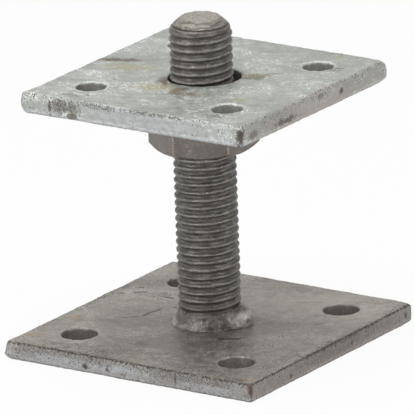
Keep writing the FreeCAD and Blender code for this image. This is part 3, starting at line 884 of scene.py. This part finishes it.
def makeNut():
    angles = numpy.linspace(0, math.tau, nut["around"], endpoint=False)
    facing = numpy.radians(nut["turn"] + 60 * numpy.arange(6))
    reach = numpy.maximum(numpy.cos(angles[:, None] - facing[None]), 0) / nut["flats"]
    hexagon = (reach ** nut["roundness"]).sum(axis=1) ** (-1 / nut["roundness"])
    low, high = nut["low"] + nut["clear"], nut["high"] - nut["clear"]
    near = numpy.array(nut["endRings"])
    between = numpy.linspace(low + nut["flatFrom"], high - nut["flatFrom"], nut["flatRings"])
    rows = []
    for z in numpy.concatenate([low + near, between, (high - near)[::-1]]):
        crown = nut["crown"] + nut["crownSlope"] * min(z - low, high - z)
        rows.append(ringPoints(angles, numpy.minimum(hexagon, crown), numpy.full_like(angles, z)))

    def level(radius, z):
        rows.append(ringPoints(angles, numpy.full_like(angles, radius),
                               numpy.full_like(angles, z)))

    # in over the top, down the bore, and out under the foot
    for step in (0.1, 0.5, 0.9):
        level(nut["crown"] + (nut["countersink"] - nut["crown"]) * step, high)
    level(nut["countersink"], high - nut["lip"])
    for z in numpy.linspace(high - nut["sinkDepth"], low + nut["sinkDepth"], nut["boreRings"]):
        level(nut["bore"], z)
    level(nut["countersink"], low + nut["lip"])
    for step in (0.9, 0.5, 0.1):
        level(nut["crown"] + (nut["countersink"] - nut["crown"]) * step, low)
    piece = loft("hexNut", numpy.array(rows))
    mesh = piece.data
    places, normals = points(mesh), points(mesh, True)
    outer = numpy.hypot(places[:, 0], places[:, 1]) > nut["outer"] * mm
    lift = nut["relief"] * (rough(places, nut["reliefSize"], nut["seed"]) - 0.8) * outer
    mesh.vertices.foreach_set("co", (places + normals * lift[:, None] * mm).ravel())
    mesh.update()
    # zero on the six corners
    across = numpy.abs(numpy.cos(numpy.arctan2(places[:, 1], places[:, 0]) * 3))
    keep(mesh, "ridge", bump(across, 0.0, nut["ridgeWidth"]) * outer)
    return piece


zincNut = {
    "cloud": 9, "patch": 2.4, "grit": 0.6, "grain": 0, "stretch": (1.0, 1.0, 4.0),
    "dark": rgb(96, 90, 85), "mean": rgb(110, 104, 99), "pale": rgb(127, 120, 115),
    "white": rgb(178, 170, 164), "black": rgb(62, 56, 50),
    "sparkle": 0.3, "pitting": 0.35, "rough": 0.42, "bump": 0.35, "relief": 0.12, "metal": 0.6,
    # painted highlight down the six corners
    "layers": [along("ridge", rgb(176, 160, 150), 0.5, 0.7, 1.1)],
}


# weld

weld = {        # mm: the base plate's top, and the bead's inner and upper radius
    "foot": 6.0, "inner": 8.2, "crest": 9.5,
    "reach": 1.1, "rise": 5.0, "belly": -0.1,
    # where the bead was stopped, and a lower swelling across from it:
    # angle, spread, and what each adds to reach, rise and belly
    "swellings": ((14, 27, 3.2, 1.8, 2.1), (215, 38, 1.6, 0.6, -0.3)),
    "around": 260, "steps": 30, "toeSunk": 0.05, "sunk": 0.25,
    # unevenness of the outline: size and seed
    "wobble": (4.0, 31.0), "ripple": (1.6, 37.0),
    # lumps on the skin: height, size, seed, octaves
    "lumps": ((0.2, 2.6, 41.0, 2), (0.07, 0.9, 43.0, 3)),
}


def makeWeld():
    angles = numpy.linspace(0, math.tau, weld["around"], endpoint=False)

    def hill(centre, spread):
        apart = (angles - math.radians(centre) + math.pi) % math.tau - math.pi
        return numpy.exp(-(apart / math.radians(spread)) ** 2)

    def flat(radius, height):
        return ringPoints(angles, numpy.broadcast_to(radius, angles.shape),
                          numpy.broadcast_to(height, angles.shape))

    rim = flat(10 * mm, 0.0)
    wobble, ripple = rough(rim, *weld["wobble"]), rough(rim, *weld["ripple"])
    reach, rise, belly = (
        weld[name] + sum(swell[2 + k] * hill(*swell[:2]) for swell in weld["swellings"])
        for k, name in enumerate(("reach", "rise", "belly")))
    reach = reach * (1 + 0.14 * wobble) + 0.12 * ripple
    rise = rise * (1 + 0.08 * wobble) + 0.2 * ripple
    foot = weld["foot"]
    rows = []
    for step in numpy.linspace(0, 1, weld["steps"]):
        # from toe to rod, straight but for the belly
        swell = belly * math.sin(step * math.pi)
        rows.append(flat(weld["crest"] + reach * (1 - step) + swell * 0.8,
                         foot - weld["toeSunk"] + rise * step + swell * 0.4))
    rows.append(flat(weld["inner"], foot + rise))
    rows.append(flat(weld["inner"], foot - weld["sunk"]))
    rows.append(flat(weld["crest"] + reach * 0.8, foot - weld["sunk"]))
    piece = loft("weldBead", numpy.array(rows))
    mesh = piece.data
    places, normals = points(mesh), points(mesh, True)
    # only the skin that shows is lumpy
    outside = (places[:, 2] > (foot + 0.1) * mm) & (
        numpy.hypot(places[:, 0], places[:, 1]) > 9.0 * mm)
    lift = sum(tall * rough(places, *grain) for tall, *grain in weld["lumps"]) * outside
    mesh.vertices.foreach_set("co", (places + normals * lift[:, None] * mm).ravel())
    mesh.update()
    return piece


zincWeld = {
    "cloud": 7, "patch": 1.8, "grit": 0.6, "grain": 0, "stretch": (1.0, 1.0, 1.0),
    "dark": rgb(80, 75, 72), "mean": rgb(102, 97, 93), "pale": rgb(128, 123, 118),
    "white": rgb(186, 182, 175), "black": rgb(54, 49, 46),
    "sparkle": 0.4, "pitting": 0.5, "rough": 0.45, "bump": 0.6, "relief": 0.2, "metal": 0.55,
    "layers": [
        # pale spatter on both swellings
        sprinkle(rgb(190, 186, 179), 0.16, [
            ((-10.5, -7.4, 7.6), (5, 3.4, 1.8), -30), ((-4, -11.4, 7.2), (3.5, 1.8, 1.4), 0),
            ((13, 2, 8.8), (3.6, 4.5, 3.2), 0)]),
        stains(rgb(178, 174, 168), [
            ((-10.5, -7.4, 7.4), (4.5, 3, 1.4), -30, 0.8), ((-4, -11.4, 7), (2.5, 1.5, 1.0), 0, 0.7),
            ((12.8, 1.4, 8.8), (4, 5.5, 3.6), 0, 0.75)]),
        # pits in front, and a dark line round the top, painted shade where the bead meets the rod
        stains(rgb(62, 57, 53), [
            ((14, 1, 8), (1.2, 1.2, 0.8), 0, 0.7), ((3, -11.2, 8.6), (2.2, 1, 0.6), 0, 0.7),
            ((5.6, -9.1, 6.9), (1.8, 1.6, 0.9), 0, 1.0),
            ((9.1, -5.8, 7.6), (1.3, 1.3, 1.4), 0, 0.9),
            ((10.3, -4.7, 6.7), (1.3, 1.3, 0.7), 0, 0.9),
            ((0, 0, 11.2), (13, 13, 0.6), 0, 0.6)])],
}


# the scene, stage by stage

setCamera()
setWorld()
makeFloor()
report("stage set")

material = makeZinc("topPlateZinc", zincTop)
finish(makePlate("topPlate", material), material, "post_seat", "top_zinc", "top_plate")
report("top plate")
material = makeZinc("basePlateZinc", zincBase)
finish(makePlate("basePlate", material), material, "base", "base_zinc", "base_plate")
report("base plate")
material = makeZinc("rodZinc", zincRod)
finish(makeRod(material), material, "base", "rod_zinc", "threaded_rod")
report("rod")
finish(makeNut(), makeZinc("nutZinc", zincNut), "nut", "nut_zinc", "hex_nut")
report("nut")
finish(makeWeld(), makeZinc("weldZinc", zincWeld), "base", "weld_zinc", "weld_bead")
report("weld")
